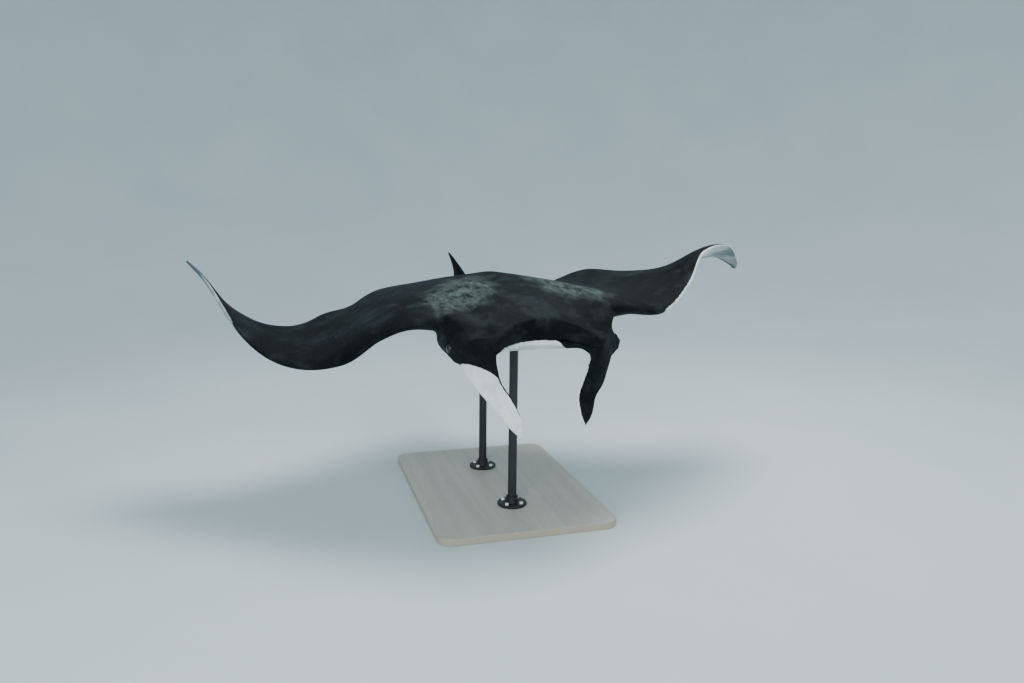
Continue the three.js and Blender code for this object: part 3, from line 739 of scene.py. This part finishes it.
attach(body, "root")
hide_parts("head", "trunk", "wing_left", "wing_right", "tail_base", "tail_tip", "dorsal_fin",
            "cephalic_fin_left", "cephalic_fin_right", "pelvic_fin_left", "pelvic_fin_right")

# ---------------------------------------------------------------- eyes
# Each eye is a flattened ball, seated in the socket at the tip of its swelling, and it looks
# sideways. Its iris is nearly as dark as its wide pupil.

# Wet eye: a slate-black iris round a black pupil, satin under a thin clear film that gives the eye a
# small sharp highlight.
wet_eye, tree = new_material("wet_eye")
spot = add(tree, "TexCoord").outputs["Object"]
for name, side in (("eye_left", 1), ("eye_right", -1)):
    bpy.ops.mesh.primitive_uv_sphere_add(segments=64, ring_count=32, radius=EYE["radius"] * DISC_WIDTH)
    ball = bpy.context.object
    ball.name = name + "_ball"
    ball.data.transform(Matrix.Diagonal((EYE["flatness"], 1, 1, 1)))
    ball.location = place((side * EYE["x"], EYE["y"], EYE["z"]))
    ball.data.shade_smooth()
    ball.data.materials.append(wet_eye)
    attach(ball, "root")
    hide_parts(name)
pupil_scale = (0, 1 / .013, 1 / .0075)  # the pupil is 26 mm wide and 15 mm high
pupil_place = add(tree, "VectorMath", {0: spot, 1: pupil_scale}, operation="MULTIPLY").outputs[0]
from_pupil = add(tree, "VectorMath", {0: pupil_place}, operation="LENGTH").outputs["Value"]
iris = blend(tree, remap(noise(.0015, 3), .3, .7), colour("#0e1213"), colour("#1c2325"))
pupil_and_iris = blend(tree, remap(from_pupil, .9, 1.05), colour("#020303"), iris)
finish_material(tree, Base_Color=pupil_and_iris, Roughness=.25, IOR=1.376,
                Coat_Weight=.35, Coat_Roughness=.05)

# ---------------------------------------------------------------- stand: board
# A plain rectangular board with rounded corners: plywood with a grey stained and lacquered face,
# its edge planed and eased all round so that the plies show.

BOARD = {"length": 1.3, "width": .9, "thickness": .036, "corner": .074, "bevel": .004}


def board_ring(inset, z):
    half_x, half_y = BOARD["width"] / 2 - inset, BOARD["length"] / 2 - inset
    radius = BOARD["corner"] - inset
    ring = []
    for quarter, (sx, sy) in enumerate(((1, 1), (-1, 1), (-1, -1), (1, -1))):
        for angle in np.radians(np.linspace(0, 90, 13) + 90 * quarter):
            ring.append((sx * (half_x - radius) + radius * math.cos(angle),
                         sy * (half_y - radius) + radius * math.sin(angle), z))
    return ring


quarter_turn = np.radians(np.linspace(0, 90, 6))
ease = [(BOARD["bevel"] * (1 - math.sin(a)), BOARD["bevel"] * (1 - math.cos(a))) for a in quarter_turn]
rings = [board_ring(inset, z) for inset, z in ease]
rings += [board_ring(inset, BOARD["thickness"] - z) for inset, z in ease[::-1]]
board = loft("stand_board", rings)

# Lacquered birch plywood: a warm grey stained face with long faint grain, and an edge whose plies show
# pale and brown by turns.
plywood, tree = new_material("stained_birch_plywood")
spot = add(tree, "TexCoord").outputs["Object"]
PLY = .0024  # thickness of one ply
level = add(tree, "SeparateXYZ", {0: spot}).outputs[2]
spot = add(tree, "Mapping", {0: spot, 3: (1, .05, 1)}).outputs[0]
grain, broad = noise(.006, 6, .6), noise(.05, 3, .5)
face = blend(tree, remap(grain, .35, .65), colour("#a9a59c"), colour("#bab6ad"))
face = blend(tree, remap(broad, .35, .65, 0, .6), face, colour("#c4c0b6"))
ply = calculate("PINGPONG", level, PLY)
edge = blend(tree, remap(ply, PLY * .45, PLY * .55), colour("#8d8474"), colour("#c9bfa9"))
facing_up = add(tree, "SeparateXYZ", {0: add(tree, "TexCoord").outputs["Normal"]}).outputs[2]
face_or_edge = blend(tree, remap(facing_up, .5, .8), edge, face)
pores = add(tree, "Bump", {"Height": grain, "Distance": .0004, "Strength": .5}).outputs[0]
lacquer = remap(grain, .3, .7, .38, .50)
finish_material(tree, Base_Color=face_or_edge, Roughness=lacquer, IOR=1.5, Normal=pores)
board.data.materials.append(plywood)
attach(board, "root")
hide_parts("stand_base")

# ---------------------------------------------------------------- stand: rods and flanges
# Two steel rods carry the animal under its belly. Each stands in a turned steel flange held to the
# board by four socket cap screws, and rods and flanges are powder coated black.

ROD = {"radius": .022, "top": .9}
ROD_PLACES = {"front": -.3, "rear": .3}
FLANGE = {"radius": .075, "thickness": .012, "neck_radius": .030, "neck_height": .045, "screw_circle": .054}
SCREW = {"radius": .009, "height": .008, "socket": .005, "socket_depth": .005}


def turned(name, profile, sides=96):
    """Solid turned from a closed profile of radius and height that starts and ends on the axis."""
    angle = np.linspace(0, 2 * np.pi, sides, endpoint=False)
    rings = [np.stack([r * np.cos(angle), r * np.sin(angle), np.full(sides, z)], 1) for r, z in profile]
    return loft(name, rings)


# Powder coat: a baked polymer film with a fine orange peel that breaks up its sheen.
powder, tree = new_material("black_powder_coat")
spot = add(tree, "TexCoord").outputs["Object"]
peel = noise(.0016, 3)
film = blend(tree, remap(noise(.03, 4), .3, .7), colour("#17191b"), colour("#1f2224"))
orange_peel = add(tree, "Bump", {"Height": peel, "Distance": .0003, "Strength": .6}).outputs[0]
finish_material(tree, Base_Color=film, Roughness=remap(peel, .3, .7, .42, .52), IOR=1.5, Normal=orange_peel)

# Blackened steel: a dark oxide over metal, cloudy and half bright. The screws' faces don't wear it:
# cutting the sockets leaves an empty first slot, and the faces keep that one and show plain pale grey.
blackened, tree = new_material("blackened_steel_screw")
spot = add(tree, "TexCoord").outputs["Object"]
oxide = blend(tree, remap(noise(.004, 3), .3, .7), colour("#2c2e30"), colour("#46484a"))
finish_material(tree, Base_Color=oxide, Metallic=1, Roughness=.38)

AXIS = .0005  # turned profiles start and end this close to their axis
GAP = .0004  # between the board and what stands on it
bottom = BOARD["thickness"] + GAP


def rounded(radius, height, fillet):
    """Outer corner of a turned profile, from its side up to its top."""
    return [(radius - fillet * (1 - math.cos(a)), height - fillet * (1 - math.sin(a))) for a in quarter_turn]


def flange_profile():
    outer, top, neck, fillet = FLANGE["radius"], FLANGE["thickness"], FLANGE["neck_radius"], .005
    profile = [(AXIS, 0), (outer - .001, 0), (outer, .001)] + rounded(outer, top, .002)
    profile += [(neck + fillet * (1 - math.sin(a)), top + fillet * (1 - math.cos(a))) for a in quarter_turn]
    profile += rounded(neck, FLANGE["neck_height"], .002)
    return profile + [(ROD["radius"], FLANGE["neck_height"]), (AXIS, FLANGE["neck_height"])]


def cap_screw():
    """Head of a socket cap screw, with its hexagon socket cut in."""
    top, socket_floor = SCREW["height"], SCREW["height"] - SCREW["socket_depth"]
    profile = [(AXIS, 0), (SCREW["radius"], 0)] + rounded(SCREW["radius"], top, .001) + [(AXIS, top)]
    screw = turned("screw", profile, 32)
    hexagon = [(AXIS, socket_floor), (SCREW["socket"], socket_floor), (SCREW["socket"], top + .001),
               (AXIS, top + .001)]
    cutter = turned("socket", hexagon, 6)
    apply_modifier(screw, "BOOLEAN", operation="DIFFERENCE", solver="MANIFOLD", object=cutter)
    bpy.data.objects.remove(cutter)
    return screw


for name, y in ROD_PLACES.items():
    flange = turned("stand_flange_" + name + "_turned", flange_profile())
    flange.location = (0, y, bottom)
    flange.data.shade_smooth()
    flange.data.materials.append(powder)
    length = ROD["top"] - bottom
    rod_profile = [(AXIS, 0), (ROD["radius"], 0), (ROD["radius"], length), (AXIS, length)]
    rod = turned("stand_rod_" + name + "_bar", rod_profile, 64)
    rod.location = (0, y, bottom)
    rod.data.materials.append(powder)
    screws = []
    for angle in np.radians([45, 135, 225, 315]):
        screw = cap_screw()
        across, along = FLANGE["screw_circle"] * math.cos(angle), FLANGE["screw_circle"] * math.sin(angle)
        screw.location = (across, y + along, bottom + FLANGE["thickness"])
        screws.append(screw)
    select(screws)
    bpy.ops.object.join()
    screws[0].name = "stand_screws_" + name
    screws[0].data.materials.append(blackened)
    for piece in (flange, rod, screws[0]):
        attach(piece, "root")
    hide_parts("stand_flange_" + name)
    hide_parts("stand_rod_" + name)

# ---------------------------------------------------------------- studio
# A seamless floor of pale matt paper that sweeps up all round into its backdrop, one soft light
# overhead and one in front, and the camera before the animal's right cheek.

FLOOR = {"flat": 5, "sweep": 7, "top": 12, "sides": 128}
sweep = [(.01, 0), (FLOOR["flat"] / 2, 0), (FLOOR["flat"], 0)]
sweep += [(FLOOR["flat"] + FLOOR["sweep"] * math.sin(a), FLOOR["sweep"] * (1 - math.cos(a)))
          for a in np.radians(np.linspace(3, 90, 30))]
sweep.append((FLOOR["flat"] + FLOOR["sweep"], FLOOR["top"]))
around = FLOOR["sides"]
angle = np.linspace(0, 2 * np.pi, around, endpoint=False)
rings = np.array([np.stack([r * np.cos(angle), r * np.sin(angle), np.full(around, z)], 1) for r, z in sweep])
quads = []
for r in range(len(rings) - 1):
    for i in range(around):
        a, b = r * around + i, r * around + (i + 1) % around
        quads.append((a, b, b + around, a + around))
floor = mesh_object("floor", rings.reshape(-1, 3), quads + [tuple(range(around))])
floor.data.shade_smooth()

# Matt paper: no gloss at all, and only a faint cloudiness over a metre or so.
paper, tree = new_material("matt_paper")
spot = add(tree, "TexCoord").outputs["Object"]
sheet = blend(tree, remap(noise(1.2, 3), .3, .7), colour("#c6d1d5"), colour("#cdd7da"))
finish_material(tree, Base_Color=sheet, Roughness=.95, IOR=1.45)
floor.data.materials.append(paper)

room = bpy.data.worlds.new("room")
room.use_nodes = True
room.node_tree.nodes["Background"].inputs["Color"].default_value = colour("#a9c0ca")
room.node_tree.nodes["Background"].inputs["Strength"].default_value = .95
bpy.context.scene.world = room

top_light = bpy.data.lights.new("top_light", "AREA")
top_light.size = 3
top_light.energy = 400
holder = bpy.data.objects.new("top_light", top_light)
holder.location = (1.5, .3, 6.5)
bpy.context.scene.collection.objects.link(holder)
front_light = bpy.data.lights.new("front_light", "POINT")
front_light.shadow_soft_size = 2
front_light.energy = 1250
holder = bpy.data.objects.new("front_light", front_light)
holder.location = (-3, -6.5, 4.5)
holder.visible_camera = False
bpy.context.scene.collection.objects.link(holder)

lens = bpy.data.cameras.new("camera")
lens.sensor_width = 36
lens.lens = 28.83
camera = bpy.data.objects.new("camera", lens)
eye_point = Vector((-1.146, -4.105, 1.618))
look_at = Vector((.0351, -.1477, .8515))
roll = math.radians(.706)
aim = (look_at - eye_point).to_track_quat("-Z", "Y").to_matrix().to_4x4()
camera.matrix_world = Matrix.Translation(eye_point) @ aim @ Matrix.Rotation(roll, 4, "Z")
bpy.context.scene.collection.objects.link(camera)
bpy.context.scene.camera = camera
